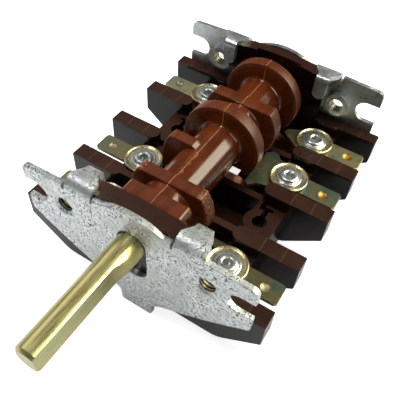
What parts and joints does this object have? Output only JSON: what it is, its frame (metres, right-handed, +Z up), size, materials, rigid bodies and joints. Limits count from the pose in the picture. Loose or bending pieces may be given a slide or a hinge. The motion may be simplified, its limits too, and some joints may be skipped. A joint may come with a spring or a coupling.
{
  "type": "rotary cam switch",
  "caption": "Panel mounted rotary cam switch: a knob shaft turns a moulded camshaft over contact leaves in an open finned base between two pressed plates",
  "frame": {"origin": "shaft axis in the front face of the front plate", "axes": "+X right, +Y from the front plate to the rear plate, +Z up"},
  "size_m": [0.0556, 0.0883, 0.0322],
  "materials": {
    "base_moulding": "dark brown phenolic moulding, semi-matt",
    "front_plate_zinc": "mottled zinc plating with dark specks",
    "rear_plate_zinc": "zinc plating, smoother and brighter",
    "shaft_chromate": "polished, yellow chromate",
    "cam_moulding": "glossy red-brown moulding",
    "pin_steel": "darkened steel",
    "terminal_chromate": "yellow chromate with a blue and green tint",
    "washer_chromate": "yellow chromate",
    "rivet_zinc": "bright zinc",
    "leaf_copper": "copper alloy spring strip",
    "contact_silver": "silver faced",
    "bar_brass": "brass",
    "spring_steel": "hardened spring strip"
  },
  "bodies": {
    "housing": {"switch_base": "base_moulding", "front_plate": "front_plate_zinc", "rear_plate": "rear_plate_zinc", "common_bar": "bar_brass", "bar_rivet_1": "bar_brass", "bar_rivet_2": "bar_brass", "detent_spring": "spring_steel", "terminal_left_1": "terminal_chromate", "clamp_washer_left_1": "washer_chromate", "terminal_rivet_left_1": "rivet_zinc", "contact_leaf_left_1": "leaf_copper", "terminal_left_2": "terminal_chromate", "clamp_washer_left_2": "washer_chromate", "terminal_rivet_left_2": "rivet_zinc", "contact_leaf_left_2": "leaf_copper", "terminal_left_3": "terminal_chromate", "clamp_washer_left_3": "washer_chromate", "terminal_rivet_left_3": "rivet_zinc", "contact_leaf_left_3": "leaf_copper", "terminal_right_1": "terminal_chromate", "clamp_washer_right_1": "washer_chromate", "terminal_rivet_right_1": "rivet_zinc", "contact_leaf_right_1": "leaf_copper", "terminal_right_2": "terminal_chromate", "clamp_washer_right_2": "washer_chromate", "terminal_rivet_right_2": "rivet_zinc", "contact_leaf_right_2": "leaf_copper", "terminal_right_3": "terminal_chromate", "clamp_washer_right_3": "washer_chromate", "terminal_rivet_right_3": "rivet_zinc", "contact_leaf_right_3": "leaf_copper", "leaf_contact_left_1": "contact_silver", "bar_contact_left_1": "contact_silver", "leaf_contact_left_2": "contact_silver", "bar_contact_left_2": "contact_silver", "leaf_contact_left_3": "contact_silver", "bar_contact_left_3": "contact_silver", "leaf_contact_right_1": "contact_silver", "bar_contact_right_1": "contact_silver", "leaf_contact_right_2_a": "contact_silver", "bar_contact_right_2_a": "contact_silver", "leaf_contact_right_2_b": "contact_silver", "bar_contact_right_2_b": "contact_silver", "leaf_contact_right_3": "contact_silver", "bar_contact_right_3": "contact_silver"},
    "rotor": {"drive_shaft": "shaft_chromate", "camshaft": "cam_moulding", "shaft_pin": "pin_steel"}
  },
  "joints": [
    {"name": "shaft_turn", "type": "hinge", "parent": "housing", "child": "rotor", "pos_m": [0, 0, 0], "axis": [0, 1, 0], "continuous": true}
  ]
}
